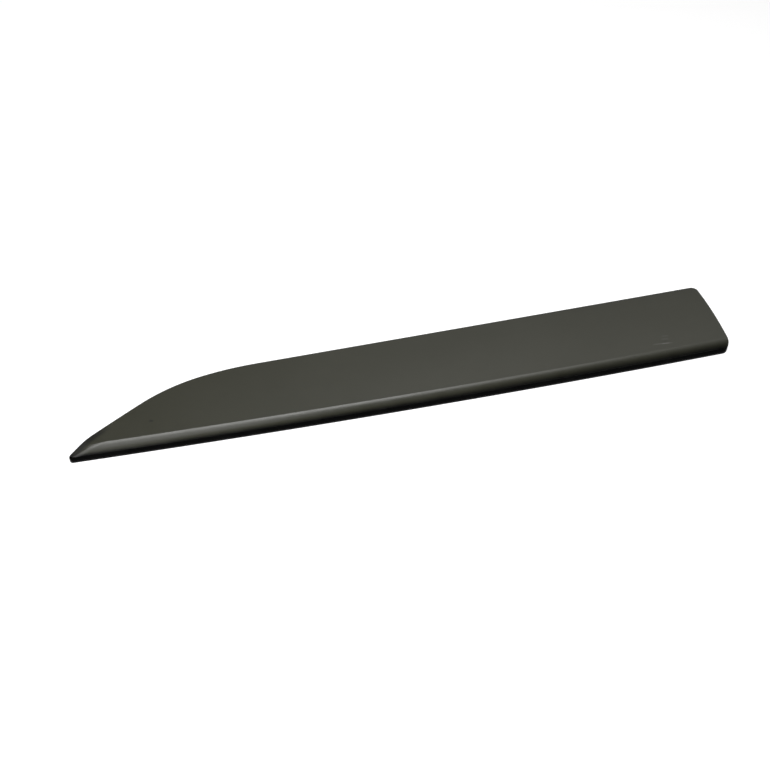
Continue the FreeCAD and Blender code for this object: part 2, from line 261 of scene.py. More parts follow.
@dataclass(frozen=True)
class Section:
    """Section across the moulding in millimetres, swept round the near edge's centre."""

    shoulder_radius: float = 12.0
    shoulder_sink: float = 2.0
    shoulder_overhang: float = 0.5
    shoulder_tilt: float = 22.5
    crease_radius: float = 1.2
    crease_face_tilt: float = 3.0
    face_radius: float = 400.0
    first_tilt: float = 62.0
    tilt_step: float = 3.5
    crease_lines: int = 6
    face_start: float = 1.5

    @property
    def painted_shade_level(self) -> float:
        """Height of the shoulder's second mesh line, up to which the painted shade along the foot reaches.
        """
        tilt = math.radians(self.first_tilt - self.tilt_step)
        return self.shoulder_radius * math.cos(tilt) - self.shoulder_sink

    def centres(self) -> tuple[Pair, Pair, Pair]:
        """Find the centres of the section's arcs.

        Returns:
            Shoulder, crease and face centre, each across from the near edge and up.
        """
        shoulder = (self.shoulder_radius - self.shoulder_overhang, -self.shoulder_sink)
        crease = on_circle(shoulder, self.shoulder_radius - self.crease_radius, 90 + self.shoulder_tilt)
        face = on_circle(crease, self.face_radius - self.crease_radius, self.crease_face_tilt - 90)
        return shoulder, crease, face

    def height(self, across: Array, depth: float = 0.0) -> Array:
        """Height of the crowned skin above the rim.

        Args:
            across: Distances from the near edge.
            depth: How far under the skin to measure, along its normal.

        Returns:
            Height at each distance.
        """
        shoulder, crease, face = self.centres()
        low = arc_height(across, shoulder, self.shoulder_radius - depth)
        high = arc_height(across, face, self.face_radius - depth)
        if depth > 0:
            return np.where(across < shoulder[0], np.minimum(low, high), high)
        tilt, face_tilt = math.radians(self.shoulder_tilt), math.radians(self.crease_face_tilt)
        begin = crease[0] - self.crease_radius * math.sin(tilt)
        finish = crease[0] - self.crease_radius * math.sin(face_tilt)
        middle = arc_height(across, crease, self.crease_radius)
        return np.where(across < begin, low, np.where(across < finish, middle, high))

    def stations(self, width: float, face_step: float = 5.0) -> Array:
        """Distances from the near edge at which the skin's mesh gets a long line.

        Args:
            width: How far across the lines go.
            face_step: Spacing of the lines over the nearly flat face.

        Returns:
            Distances, increasing.
        """
        shoulder, crease, _ = self.centres()
        lean = np.radians(np.arange(self.first_tilt, self.shoulder_tilt, -self.tilt_step))
        over_shoulder = shoulder[0] - self.shoulder_radius * np.sin(lean)
        lean = np.radians(np.linspace(self.shoulder_tilt, self.crease_face_tilt, self.crease_lines))
        over_crease = crease[0] - self.crease_radius * np.sin(lean)
        beyond = np.arange(over_crease[-1] + self.face_start, width + face_step, face_step)
        return np.concatenate([over_shoulder, over_crease, beyond])


def arc_height(across: Array, centre: Pair, radius: float) -> Array:
    """Height of a circle's upper half over a row of distances."""
    return centre[1] + np.sqrt(np.maximum(radius**2 - (across - centre[0]) ** 2, 0.0))


@dataclass(frozen=True)
class TipFall:
    """Cylinder and slope on which the face falls towards the pointed tip, in millimetres."""

    start: float = 28.0
    radius: float = 30.0
    angle: float = 19.0
    turn: float = 52.0
    blend: float = 0.9
    blend_run: float = 6.0
    least_blend: float = 0.02

    def drop(self, run: Array) -> Array:
        """Depth of the fall under the face.

        Args:
            run: Distances past the line on which the fall begins.

        Returns:
            Depth at each distance.
        """
        run = np.maximum(run, 0.0)
        turn = math.radians(self.angle)
        bend = self.radius * math.sin(turn)
        round_part = self.radius - np.sqrt(self.radius**2 - np.minimum(run, bend) ** 2)
        return round_part + np.maximum(run - bend, 0.0) * math.tan(turn)


@dataclass(frozen=True)
class Skin:
    """Outer surface of the moulding as a height over its plan, in millimetres."""

    outline: Outline
    section: Section = Section()
    fall: TipFall = TipFall()
    edge_radius: float = 0.9
    edge_fade: Pair = (1.0, 3.2)
    probe: float = 0.02

    def across(self, points: Array) -> Array:
        """Distance of each point from the long near edge, along its radius."""
        away = points - np.array(self.outline.near_centre)
        return self.outline.near_edge_radius - np.hypot(away[:, 0], away[:, 1])

    def crown(self, points: Array, depth: float = 0.0) -> Array:
        """Height of the crowned face, before its edge is softened.

        Args:
            points: Rows of x and y.
            depth: How far under the outer surface to measure.

        Returns:
            Height at each point.
        """
        section, fall = self.section, self.fall
        height = section.height(self.across(points), depth)
        # the fall lies along the crowned face, touching it midway between the rim and the nose
        touch = fall.start * math.tan(math.radians(self.outline.nose_angle)) / 2
        face = section.centres()[2]
        lean = math.asin((face[0] - touch) / section.face_radius)
        level = face[1] + section.face_radius * math.cos(lean) - depth
        beside = points[:, 1] + self.outline.width / 2 - touch
        from_tip = points[:, 0] + self.outline.length / 2
        turn = math.radians(fall.turn)
        run = (fall.start - from_tip) * math.cos(turn) - beside * math.sin(turn)
        fallen = level + beside * math.tan(lean) - fall.drop(run)
        blend = fall.blend * np.clip(run / fall.blend_run, fall.least_blend, 1.0)
        # the lower of the two, rounded where they cross
        near = np.maximum(blend - np.abs(height - fallen), 0.0) / blend
        softened = np.minimum(height, fallen) - near * near * blend / 4
        return np.where(run > 0.0, softened, height)

    def surface(self, points: Array) -> tuple[Array, Array]:
        """Height and normal of the outer surface, its upper edge softened.

        Args:
            points: Rows of x and y, inside the outline.

        Returns:
            Heights, and unit normals as rows of x, y and z.
        """
        inside, outward = self.outline.inside(points)
        radius, step = self.edge_radius, self.probe
        crown = self.crown(points)
        slopes = []
        for shift in np.eye(2) * step:
            slopes.append((self.crown(points + shift) - self.crown(points - shift)) / (2 * step))
        low, high = self.edge_fade
        share = np.clip((self.across(points) - low) / (high - low), 0.0, 1.0)
        weight = share * share * (3 - 2 * share)
        into = np.clip(radius - inside, 0.0, radius)
        rise = np.sqrt(np.maximum(radius**2 - into**2, LEAST_SQUARE))
        height = crown - weight * (radius - np.where(into > 0, rise, radius))
        lean = (weight * into / rise)[:, None]
        normal = lean * outward - np.column_stack([*slopes, -np.ones(len(points))])
        return height, normal / np.linalg.norm(normal, axis=1)[:, None]


@dataclass
class PlanMesh:
    """Triangles over the plan, kept inside a closed row of points."""

    points: Array
    faces: Array
    rim: Array

    @classmethod
    def fill(cls, rings: list[Array], lines: list[Array]) -> "PlanMesh":
        """Triangulate a region with every ring and line as edges of the mesh.

        Args:
            rings: Closed rows of points, the outermost first.
            lines: Open rows of points, which may run past it.

        Returns:
            The mesh inside the outermost ring, with its boundary in order.
        """
        corners, edges = [], []
        for number, row in enumerate([*rings, *lines]):
            base = len(corners)
            corners.extend(map(Vector, row))
            edges.extend((base + i, base + i + 1) for i in range(len(row) - 1))
            if number < len(rings):
                edges.append((len(corners) - 1, base))
        made, _, faces, *_ = delaunay_2d_cdt(corners, edges, [], 0, MESH_TOLERANCE)
        made = np.array([tuple(point) for point in made])
        faces = np.array([tuple(face) for face in faces if len(face) == 3])
        faces = faces[inside_ring(made[faces].mean(axis=1), rings[0])]
        used, faces = np.unique(faces, return_inverse=True)
        faces = faces.reshape(-1, 3)
        points = made[used]
        first, second, third = (points[faces[:, corner]] for corner in range(3))
        turn = np.cross(second - first, third - first)
        faces[turn < 0] = faces[turn < 0][:, ::-1]
        return cls(points, faces, boundary(faces))


def inside_ring(points: Array, ring: Array) -> Array:
    """Tell which points lie inside a closed row, by counting crossings to their right.

    Args:
        points: Rows of x and y.
        ring: The closed row.

    Returns:
        Whether each point lies inside.
    """
    start, end = ring, np.roll(ring, -1, axis=0)
    x, y = points[:, 0][:, None], points[:, 1][:, None]
    spans = (start[:, 1] > y) != (end[:, 1] > y)
    rise = np.where(end[:, 1] == start[:, 1], 1.0, end[:, 1] - start[:, 1])
    crossing = start[:, 0] + (y - start[:, 1]) * (end[:, 0] - start[:, 0]) / rise
    return (spans & (x < crossing)).sum(axis=1) % 2 == 1


def boundary(faces: Array) -> Array:
    """Follow the boundary of a triangulated region, counter-clockwise.

    Args:
        faces: Rows of three indices.

    Returns:
        Indices of the points on it.
    """
    edges = {(int(face[i]), int(face[(i + 1) % 3])) for face in faces for i in range(3)}
    onward = {start: end for start, end in edges if (end, start) not in edges}
    row = [next(iter(sorted(onward)))]
    while len(row) < len(onward):
        row.append(onward[row[-1]])
    return np.array(row)


@dataclass
class SkinMesh:
    """Vertices, faces and shading normals gathered for one closed mesh, in millimetres."""

    points: list[Array] = field(default_factory=list)
    faces: list[tuple[int, ...]] = field(default_factory=list)
    normals: list[Array] = field(default_factory=list)
    slots: list[int] = field(default_factory=list)
    zone: Zone = Zone.PAINTED

    def add_points(self, plan: Array, height: Array | float) -> Array:
        """Add vertices.

        Args:
            plan: Rows of x and y.
            height: Height of each, or of all.

        Returns:
            Their indices.
        """
        first = sum(map(len, self.points))
        self.points.append(np.column_stack([plan, np.broadcast_to(height, len(plan))]))
        return np.arange(first, first + len(plan))

    def add_faces(self, faces: Array, normals: Array) -> None:
        """Add faces of the present zone.

        Args:
            faces: Rows of vertex indices.
            normals: Shading normal of each corner, or of all.
        """
        self.faces.extend(map(tuple, faces.tolist()))
        self.normals.extend(np.broadcast_to(normals, (*faces.shape, 3)).reshape(-1, 3))
        self.slots.extend([self.zone.value] * len(faces))

    def band(self, low: Array, high: Array, low_normals: Array, high_normals: Array) -> None:
        """Join two closed rows of vertices with quads, facing out where the rows turn left.

        Args:
            low: Indices of the lower row.
            high: Indices of the upper row.
            low_normals: Shading normals along the lower row.
            high_normals: Shading normals along the upper row.
        """
        onward = np.roll(np.arange(len(low)), -1)
        quads = np.column_stack([low, low[onward], high[onward], high])
        normals = (low_normals, low_normals[onward], high_normals[onward], high_normals)
        self.add_faces(quads, np.stack(normals, axis=1))

    def build(self, name: str) -> bpy.types.Object:
        """Make the object.

        Args:
            name: Name of the object and its mesh.

        Returns:
            The object, at the origin, in metres.
        """
        mesh = bpy.data.meshes.new(name)
        mesh.from_pydata([tuple(point * MM) for point in np.vstack(self.points)], [], self.faces)
        mesh.shade_smooth()
        mesh.polygons.foreach_set("material_index", self.slots)
        mesh.normals_split_custom_set([tuple(normal) for normal in self.normals])
        return place(name, mesh)


@dataclass
class Shell:
    """The moulding's open-backed shell: softened face, walls, rim and hollow."""

    skin: Skin
    skin_thickness: float = 2.6
    wall_thickness: float = 2.4
    rim_radius: float = 0.35
    fine_from_tip: float = 34.0
    fine_step: float = 0.8
    long_step: float = 4.0
    ceiling_step: float = 8.0
    ceiling_probe: float = 0.05
    lowest_ceiling: float = 0.1
    painted_share: float = 0.9
    crisp_rise: float = 0.2
    edge_turns: tuple[float, ...] = (90.0, 72.0, 54.0, 36.0, 18.0, 0.0)
    rim_turns: tuple[float, ...] = (0.0, 45.0, 90.0)
    mesh: SkinMesh = field(default_factory=SkinMesh)

    def long_lines(self, stations: Array) -> list[Array]:
        """Lay rows of points parallel to the near edge, closer together near the tip.

        Args:
            stations: Distance of each row from the near edge.

        Returns:
            The rows of x and y.
        """
        outline = self.skin.outline
        half = outline.length / 2 + self.long_step
        fine = np.arange(-half, self.fine_from_tip - outline.length / 2, self.fine_step)
        along = np.concatenate([fine, np.arange(fine[-1] + self.long_step / 2, half, self.long_step)])
        centre = outline.near_centre[1]
        radii = outline.near_edge_radius - stations
        return [np.column_stack([along, centre - np.sqrt(radius**2 - along**2)]) for radius in radii]

    def build(self) -> bpy.types.Object:
        """Mesh the whole shell.

        Returns:
            The closed shell as one object.
        """
        mesh, outline, radius = self.mesh, self.skin.outline, self.skin.edge_radius
        insets = [radius * (1 - math.sin(math.radians(turn))) for turn in self.edge_turns]
        stations = self.skin.section.stations(outline.width)
        plan = PlanMesh.fill([outline.ring(inset) for inset in insets], self.long_lines(stations))
        height, normal = self.skin.surface(plan.points)
        top = mesh.add_points(plan.points, height)
        outward = outline.inside(plan.points[plan.rim])[1]
        crisp = normal[plan.rim][:, 2] < self.crisp_rise
        normal[plan.rim[crisp]] = outward[crisp]
        # faces low on the shoulder get the painted shade of the foot
        dark = height[plan.faces].mean(axis=1) < self.skin.section.painted_shade_level
        for zone, chosen in ((Zone.PAINTED, plan.faces[~dark]), (Zone.DARK_EDGE, plan.faces[dark])):
            mesh.zone = zone
            mesh.add_faces(top[chosen], normal[chosen])
        rim_row = self.outer_wall(plan.points[plan.rim], top[plan.rim], outward)
        mesh.zone = Zone.BARE
        self.rim(rim_row, self.hollow())
        return mesh.build("moulding_surface")

    def outer_wall(self, edge: Array, row: Array, outward: Array) -> Array:
        """Drop the wall from the face to the rim, with painted shade below, its lower edge rounded.

        Args:
            edge: Rows of x and y along the boundary.
            row: Indices of the face's vertices there.
            outward: Outward normals there.

        Returns:
            Indices of the row on which the wall meets the rim.
        """
        mesh, row_normals = self.mesh, outward
        tall = np.vstack(mesh.points)[row][:, 2]
        paint_end = np.minimum(self.skin.section.painted_shade_level, tall * self.painted_share)
        mesh.zone = Zone.PAINTED
        below = mesh.add_points(edge, paint_end)
        mesh.band(below, row, outward, outward)
        # below the paint, the wall's foot gets painted shade
        row, mesh.zone = below, Zone.DARK_EDGE
        for turn in self.rim_turns:
            lean = math.radians(turn)
            inset = self.rim_radius * (1 - math.cos(lean))
            level = self.rim_radius * (1 - math.sin(lean))
            below = mesh.add_points(edge - inset * outward[:, :2], level)
            normals = outward * math.cos(lean) - np.array([0.0, 0.0, math.sin(lean)])
            mesh.band(below, row, normals, row_normals)
            row, row_normals = below, normals
        return row

    def hollow(self) -> Array:
        """Line the hollow with its ceiling and inner walls.

        Returns:
            Indices of the row on which the inner wall meets the rim.
        """
        mesh = self.mesh
        plan, height = self.ceiling()
        top = mesh.add_points(plan.points, height)
        points, depth, step = plan.points, self.skin_thickness, self.ceiling_probe
        slopes = []
        for shift in np.eye(2) * step:
            rise = self.skin.crown(points + shift, depth) - self.skin.crown(points - shift, depth)
            slopes.append(rise / (2 * step))
        normal = np.column_stack([*slopes, -np.ones(len(points))])
        normal /= np.linalg.norm(normal, axis=1)[:, None]
        mesh.add_faces(top[plan.faces[:, ::-1]], normal[plan.faces[:, ::-1]])
        edge = plan.points[plan.rim]
        inward = -self.skin.outline.inside(edge)[1]
        low = mesh.add_points(edge, 0.0)
        mesh.band(top[plan.rim], low, inward, inward)
        return low

    def ceiling(self, sunk: float = 0.0) -> tuple[PlanMesh, Array]:
        """Lay out the hollow's ceiling, parallel to the face.

        Args:
            sunk: How far to move it and its walls into the shell.

        Returns:
            Its plan mesh and the height of each point.
        """
        outline = self.skin.outline
        stations = self.skin.section.stations(outline.width, self.ceiling_step)[::2]
        ring = outline.ring(self.wall_thickness - sunk)
        plan = PlanMesh.fill([ring], self.long_lines(stations))
        height = self.skin.crown(plan.points, self.skin_thickness - sunk)
        return plan, np.maximum(height, self.lowest_ceiling)

    def core(self, sunk: float) -> bpy.types.Object:
        """Make a closed solid that fills the hollow.

        Args:
            sunk: How far it reaches into the shell.

        Returns:
            The solid, from the rim's level up.
        """
        plan, height = self.ceiling(sunk)
        mesh = SkinMesh()
        up = np.array([0.0, 0.0, 1.0])
        top = mesh.add_points(plan.points, height)
        base = mesh.add_points(plan.points, 0.0)
        mesh.add_faces(top[plan.faces], up)
        mesh.add_faces(base[plan.faces[:, ::-1]], -up)
        side = np.tile(up, (len(plan.rim), 1))
        mesh.band(base[plan.rim], top[plan.rim], side, side)
        return mesh.build("moulding_ribs")

    def rim(self, outer: Array, inner: Array) -> None:
        """Close the flat rim, stepping along both rows by whichever step spans less.

        Args:
            outer: Indices of the outer wall's lowest row.
            inner: Indices of the inner wall's lowest row.
        """
        points = np.vstack(self.mesh.points)
        nearest = int(np.hypot(*(points[inner] - points[outer[0]])[:, :2].T).argmin())
        inner = np.roll(inner, -nearest)
        outer, inner = np.append(outer, outer[0]), np.append(inner, inner[0])
        out, into, faces = 0, 0, []
        while out < len(outer) - 1 or into < len(inner) - 1:
            outward = out < len(outer) - 1
            if outward and into < len(inner) - 1:
                long_out = math.dist(points[outer[out + 1]], points[inner[into]])
                outward = long_out <= math.dist(points[outer[out]], points[inner[into + 1]])
            if outward:
                faces.append((inner[into], outer[out + 1], outer[out]))
                out += 1
            else:
                faces.append((inner[into], inner[into + 1], outer[out]))
                into += 1
        self.mesh.add_faces(np.array(faces), np.array([0.0, 0.0, -1.0]))


@dataclass
class Wiring:
    """Adds and links the nodes of one tree."""

    tree: bpy.types.NodeTree

    def add(self, kind: str, values: dict | None = None, **settings: str) -> bpy.types.Node:
        """Add a node.

        Args:
            kind: Name of its type.
            values: A value or another node's output for each input, by name or number.
            settings: Properties of the node itself.

        Returns:
            The node.
        """
        node = self.tree.nodes.new(kind)
        for name, setting in settings.items():
            setattr(node, name, setting)
        for name, value in (values or {}).items():
            self.feed(node.inputs[name], value)
        return node

    def feed(self, socket: Socket, value: object) -> None:
        """Link an output to an input, or give the input a value.

        Args:
            socket: The input.
            value: The output or the value.
        """
        if isinstance(value, Socket):
            self.tree.links.new(value, socket)
        else:
            socket.default_value = value

    def math(self, operation: str, first: object, second: object = 0.0) -> Socket:
        """Output of one sum on one or two numbers."""
        return self.add("ShaderNodeMath", {0: first, 1: second}, operation=operation).outputs[0]

    def position(self) -> Socket:
        """Object coordinates in metres."""
        return self.add("ShaderNodeTexCoord").outputs["Object"]

    def vector(self, x: object, y: object, z: object) -> Socket:
        """Output of a vector put together from three numbers."""
        return self.add("ShaderNodeCombineXYZ", {0: x, 1: y, 2: z}).outputs[0]

    def ramp(self, value: object, low: object, high: object, start: object = 0, end: object = 1) -> Socket:
        """Smooth step from one level to another.

        Args:
            value: The number that runs.
            low: Where the step begins.
            high: Where it ends.
            start: Level before the step.
            end: Level after it.

        Returns:
            The output.
        """
        values = {"Value": value, "From Min": low, "From Max": high, "To Min": start, "To Max": end}
        return self.add("ShaderNodeMapRange", values, interpolation_type="SMOOTHSTEP").outputs[0]

    def mix(self, share: object, first: object, second: object) -> Socket:
        """Output of two colours mixed by a share."""
        values = {0: share, 6: first, 7: second}
        return self.add("ShaderNodeMix", values, data_type="RGBA").outputs[2]


@dataclass(frozen=True)
class Mottle:
    """Cloudy pattern with lumps of a size in metres, blended between two of its levels."""

    size: float
    detail: float = 2.0
    span: Pair = (0.3, 0.7)

    def noise(self, wiring: Wiring) -> Socket:
        """Output of the plain pattern."""
        values = {"Vector": wiring.position(), "Scale": 1.0 / self.size, "Detail": self.detail}
        return wiring.add("ShaderNodeTexNoise", values).outputs[0]

    def share(self, wiring: Wiring, start: float = 0.0, end: float = 1.0) -> Socket:
        """Output that runs from one value to another with the pattern."""
        return wiring.ramp(self.noise(wiring), *self.span, start, end)


@dataclass(frozen=True)
class Relief:
    """Fine unevenness: its pattern, its strength and its depth in metres."""

    pattern: Mottle
    strength: float
    depth: float

    def normals(self, wiring: Wiring) -> Socket:
        """Output of the uneven surface's normals."""
        values = {"Height": self.pattern.noise(wiring), "Strength": self.strength, "Distance": self.depth}
        return wiring.add("ShaderNodeBump", values).outputs[0]


@dataclass(frozen=True)
class Stroke:
    """Fine mark on the face, from one place to another in plan, in millimetres."""

    start: Pair
    end: Pair
    width: float
    strength: float

    def mask(self, wiring: Wiring) -> Socket:
        """Strength of the mark over the object, fading at its ends.

        Args:
            wiring: Tree to add to.

        Returns:
            Output from 0 to the mark's strength.
        """
        first, last = np.array(self.start) * MM, np.array(self.end) * MM
        length = float(np.hypot(*(last - first)))
        along = (last - first) / length
        values = {0: wiring.position(), 1: (*first, 0.0)}
        away = wiring.add("ShaderNodeVectorMath", values, operation="SUBTRACT").outputs[0]
        runs = []
        for direction in ((*along, 0.0), (-along[1], along[0], 0.0)):
            node = wiring.add("ShaderNodeVectorMath", {0: away, 1: direction}, operation="DOT_PRODUCT")
            runs.append(node.outputs["Value"])
        fade = self.width * MM
        aside = wiring.ramp(wiring.math("ABSOLUTE", runs[1]), fade / 2, fade, 1.0, 0.0)
        begun = wiring.ramp(runs[0], -fade, length / 4)
        going = wiring.ramp(runs[0], length * 3 / 4, length + fade, self.strength, 0.0)
        return wiring.math("MULTIPLY", wiring.math("MULTIPLY", begun, going), aside)


def new_material(name: str, specular: float) -> tuple[bpy.types.Material, Wiring, bpy.types.Node]:
    """Start a node material.

    Args:
        name: Name of the material.
        specular: Level of its plain reflection.

    Returns:
        The material, its wiring and its shader.
    """
    made = bpy.data.materials.new(name)
    made.use_nodes = True
    shader = made.node_tree.nodes["Principled BSDF"]
    shader.inputs["Specular IOR Level"].default_value = specular
    return made, Wiring(made.node_tree), shader


@dataclass(frozen=True)
class Finish:
    """Surface of two blended tones, its roughness plain or varied by a sheen."""

    name: str
    colour: Colour
    worn_colour: Colour
    patches: Mottle
    roughness: Pair
    specular: float
    sheen: Mottle | None = None
    relief: Relief | None = None

    def material(self) -> bpy.types.Material:
        """Build the finish's node material.

        Returns:
            The material, reading Object coordinates.
        """
        made, wiring, shader = new_material(self.name, self.specular)
        wiring.feed(shader.inputs["Base Color"], self.tint(wiring))
        if self.sheen:
            wiring.feed(shader.inputs["Roughness"], self.sheen.share(wiring, *self.roughness))
        else:
            shader.inputs["Roughness"].default_value = self.roughness[0]
        if self.relief:
            wiring.feed(shader.inputs["Normal"], self.relief.normals(wiring))
        return made

    def tint(self, wiring: Wiring) -> Socket:
        """Colour over the object, from the plain tone to the worn one."""
        return wiring.mix(self.patches.share(wiring), self.colour, self.worn_colour)


@dataclass(frozen=True)
class BarePlastic(Finish):
    """Unpainted black moulding plastic with a fine eroded grain, inside and on the rim."""

    name: str = "bare_black_plastic"
    colour: Colour = (0.014, 0.014, 0.014, 1.0)
    worn_colour: Colour = (0.024, 0.024, 0.023, 1.0)
    patches: Mottle = Mottle(0.03, 4.0, (0.35, 0.7))
    roughness: Pair = (0.49, 0.61)
    sheen: Mottle = Mottle(0.008)
    specular: float = 0.35
    relief: Relief = Relief(Mottle(0.0006, 3.0), 0.5, 0.00004)


@dataclass(frozen=True)
class PaintedShadeFoot(Finish):
    """Painted shade: near-black with almost no reflection along the foot of the wall, below the paint."""

    name: str = "matt_black_edge"
    colour: Colour = (0.0016, 0.0016, 0.0016, 1.0)
    worn_colour: Colour = (0.0034, 0.0034, 0.0032, 1.0)
    patches: Mottle = Mottle(0.012, 4.0, (0.45, 0.75))
    roughness: Pair = (0.6, 0.6)
    specular: float = 0.03


@dataclass(frozen=True)
class SatinPaint(Finish):
    """Satin olive-grey paint, with painted shade: black low down, reaching higher towards the blunt end.
    """

    name: str = "satin_paint"
    colour: Colour = (0.031, 0.0312, 0.0204, 1.0)
    worn_colour: Colour = (0.0345, 0.0345, 0.0234, 1.0)
    patches: Mottle = Mottle(0.06, 4.0)
    roughness: Pair = (0.28, 0.32)
    sheen: Mottle = Mottle(0.01)
    specular: float = 0.5
    relief: Relief = Relief(Mottle(0.0016, 1.0), 0.35, 0.000012)
    painted_shade_colour: Colour = (0.002, 0.002, 0.002, 1.0)
    mark_colour: Colour = (0.16, 0.16, 0.15, 1.0)
    speck_and_shade_colour: Colour = (0.012, 0.012, 0.010, 1.0)
    painted_shade_below: float = 0.0042
    unshaded_level: Pair = (0.0064, 0.0092)
    shade_rise: Pair = (-0.12, 0.22)
    wobble: Mottle = Mottle(0.02)
    wobble_height: float = 0.0006
    marks: tuple[Stroke, ...] = (
        Stroke((181.0, -19.9), (198.0, -21.3), 0.6, 0.25),
        Stroke((188.5, -20.5), (195.0, -21.0), 0.5, 0.40),
        Stroke((191.8, -13.3), (196.8, -13.8), 0.6, 0.14),
        Stroke((190.3, -16.2), (195.8, -16.9), 0.7, 0.14),
    )
    specks_and_painted_shade: tuple[Stroke, ...] = (
        Stroke((-185.9, -13.8), (-184.0, -14.3), 1.0, 0.9),
        # painted shade: this long soft stroke darkens the facet along the nose edge near the tip; the
        # others are real specks
        Stroke((-239.5, -26.8), (-218.0, -13.0), 6.2, 0.96),
        Stroke((189.8, -18.6), (194.8, -18.9), 0.7, 0.35),
    )

    def tint(self, wiring: Wiring) -> Socket:
        """Colour over the object, with its marks and specks, and with painted shade near the tip and over
        its foot.

        Args:
            wiring: Tree to add to.

        Returns:
            The colour's output.
        """
        colour = Finish.tint(self, wiring)
        for strokes, tone in ((self.marks, self.mark_colour), (self.specks_and_painted_shade, self.speck_and_shade_colour)):
            for stroke in strokes:
                colour = wiring.mix(stroke.mask(wiring), colour, tone)
        # painted shade: black below a wobbly height that rises towards the blunt end
        split = wiring.add("ShaderNodeSeparateXYZ", {0: wiring.position()}).outputs
        wobble = wiring.math("SUBTRACT", self.wobble.noise(wiring), 0.5)
        height = wiring.math("ADD", split["Z"], wiring.math("MULTIPLY", wobble, self.wobble_height))
        full = wiring.ramp(split["X"], *self.shade_rise, *self.unshaded_level)
        unshaded = wiring.ramp(height, self.painted_shade_below, full)
        return wiring.mix(unshaded, self.painted_shade_colour, colour)


@dataclass
class Ribs:
    """Ribs and screw bosses that stiffen the hollow back, in millimetres."""

    shell: Shell
    thickness: float = 1.3
    setback: float = 0.8
    pitch: float = 30.0
    long_spacing: float = 24.0
    line_offset: float = -4.0
    boss_radius: float = 4.5
    boss_pitch: float = 120.0
    boss_count: int = 4
    pilot_radius: float = 1.7
    pilot_depth: float = 6.0
    sunk: float = 1.0
    round_steps: int = 32

    def sizes(self) -> dict[str, float]:
        """Name the inputs of the node tree.

        Returns:
            Value of each input, lengths in metres.
        """
        outline = self.shell.skin.outline
        lengths = {
            "Rib thickness": self.thickness,
            "Rib setback": self.setback,
            "Rib height": self.shell.skin.section.shoulder_radius,
            "Cross pitch": self.pitch,
            "Long spacing": self.long_spacing,
            "Line offset": self.line_offset,
            "Length": outline.length,
            "Width": outline.width,
            "Boss radius": self.boss_radius,
            "Boss pitch": self.boss_pitch,
            "Pilot radius": self.pilot_radius,
            "Pilot depth": self.pilot_depth,
        }
        steps = float(int(outline.length / 2 / self.pitch))
        return {"Cross steps": steps} | {name: length * MM for name, length in lengths.items()}

    def tree(self, material: bpy.types.Material) -> tuple[bpy.types.NodeTree, dict[str, str]]:
        """Build the node tree that fills the hollow's core with ribs and bosses.

        Args:
            material: Finish of the ribs.

        Returns:
            The tree, and the identifier of each named input.
        """
        tree = bpy.data.node_groups.new("ribs_and_bosses", "GeometryNodeTree")
        face = tree.interface
        face.new_socket(name="Core", in_out="INPUT", socket_type="NodeSocketGeometry")
        names = {}
        for name in self.sizes():
            socket = face.new_socket(name=name, in_out="INPUT", socket_type="NodeSocketFloat")
            names[name] = socket.identifier
        face.new_socket(name="Ribs", in_out="OUTPUT", socket_type="NodeSocketGeometry")
        wiring = Wiring(tree)
        given = wiring.add("NodeGroupInput").outputs
        thick, tall, line = given["Rib thickness"], given["Rib height"], given["Line offset"]
        steps, pitch, apart = given["Cross steps"], given["Cross pitch"], given["Long spacing"]
        middle = wiring.math("MULTIPLY", tall, 0.5)
        level = wiring.math("ADD", middle, given["Rib setback"])
        first = wiring.math("MULTIPLY", wiring.math("MULTIPLY", steps, pitch), -1.0)
        count = wiring.math("ADD", wiring.math("MULTIPLY", steps, 2.0), 1.0)
        count = wiring.add("FunctionNodeFloatToInt", {0: count}).outputs[0]
        low = wiring.math("SUBTRACT", line, wiring.math("MULTIPLY", apart, 0.5))
        cross = (thick, given["Width"], tall), count, (first, 0.0, level), (pitch, 0.0, 0.0)
        along = (given["Length"], thick, tall), 2, (0.0, low, level), (0.0, apart, 0.0)
        shapes = []
        for size, number, start, onward in (cross, along):
            blade = wiring.add("GeometryNodeMeshCube", {"Size": wiring.vector(*size)})
            shapes.append(self.row(wiring, blade, number, start, onward))
        first = wiring.math("MULTIPLY", given["Boss pitch"], -(self.boss_count - 1) / 2)
        onward = (given["Boss pitch"], 0.0, 0.0)
        # the bosses stand on the rim's level, the pilot holes run as far below it as above
        bore = wiring.math("MULTIPLY", given["Pilot depth"], 2.0)
        for radius, deep, centre in (("Boss radius", tall, middle), ("Pilot radius", bore, 0.0)):
            values = {"Vertices": self.round_steps, "Radius": given[radius], "Depth": deep}
            post = wiring.add("GeometryNodeMeshCylinder", values)
            shapes.append(self.row(wiring, post, self.boss_count, (first, line, centre), onward))
        *ribs, pilots = shapes
        joined = self.combine(wiring, "UNION", ribs)
        filled = self.combine(wiring, "INTERSECT", [given["Core"], joined])
        bored = self.combine(wiring, "DIFFERENCE", [filled, pilots])
        real = wiring.add("GeometryNodeRealizeInstances", {0: bored})
        values = {"Geometry": real.outputs[0], "Material": material}
        dressed = wiring.add("GeometryNodeSetMaterial", values)
        wiring.add("NodeGroupOutput", {0: dressed.outputs[0]})
        return tree, names

    @staticmethod
    def row(wiring: Wiring, shape: bpy.types.Node, count: object, first: tuple, onward: tuple) -> Socket:
        """Copies of a shape in a row, made real.

        Args:
            wiring: Tree to add to.
            shape: Node that makes the shape.
            count: How many copies.
            first: Place of the first, as three numbers or outputs.
            onward: Step from one to the next.

        Returns:
            The copies as geometry.
        """
        start, step = wiring.vector(*first), wiring.vector(*onward)
        values = {"Count": count, "Start Location": start, "Offset": step}
        values = {0: wiring.add("GeometryNodeMeshLine", values).outputs[0]}
        copies = wiring.add("GeometryNodeInstanceOnPoints", values)
        wiring.feed(copies.inputs["Instance"], shape.outputs["Mesh"])
        return wiring.add("GeometryNodeRealizeInstances", {0: copies.outputs[0]}).outputs[0]

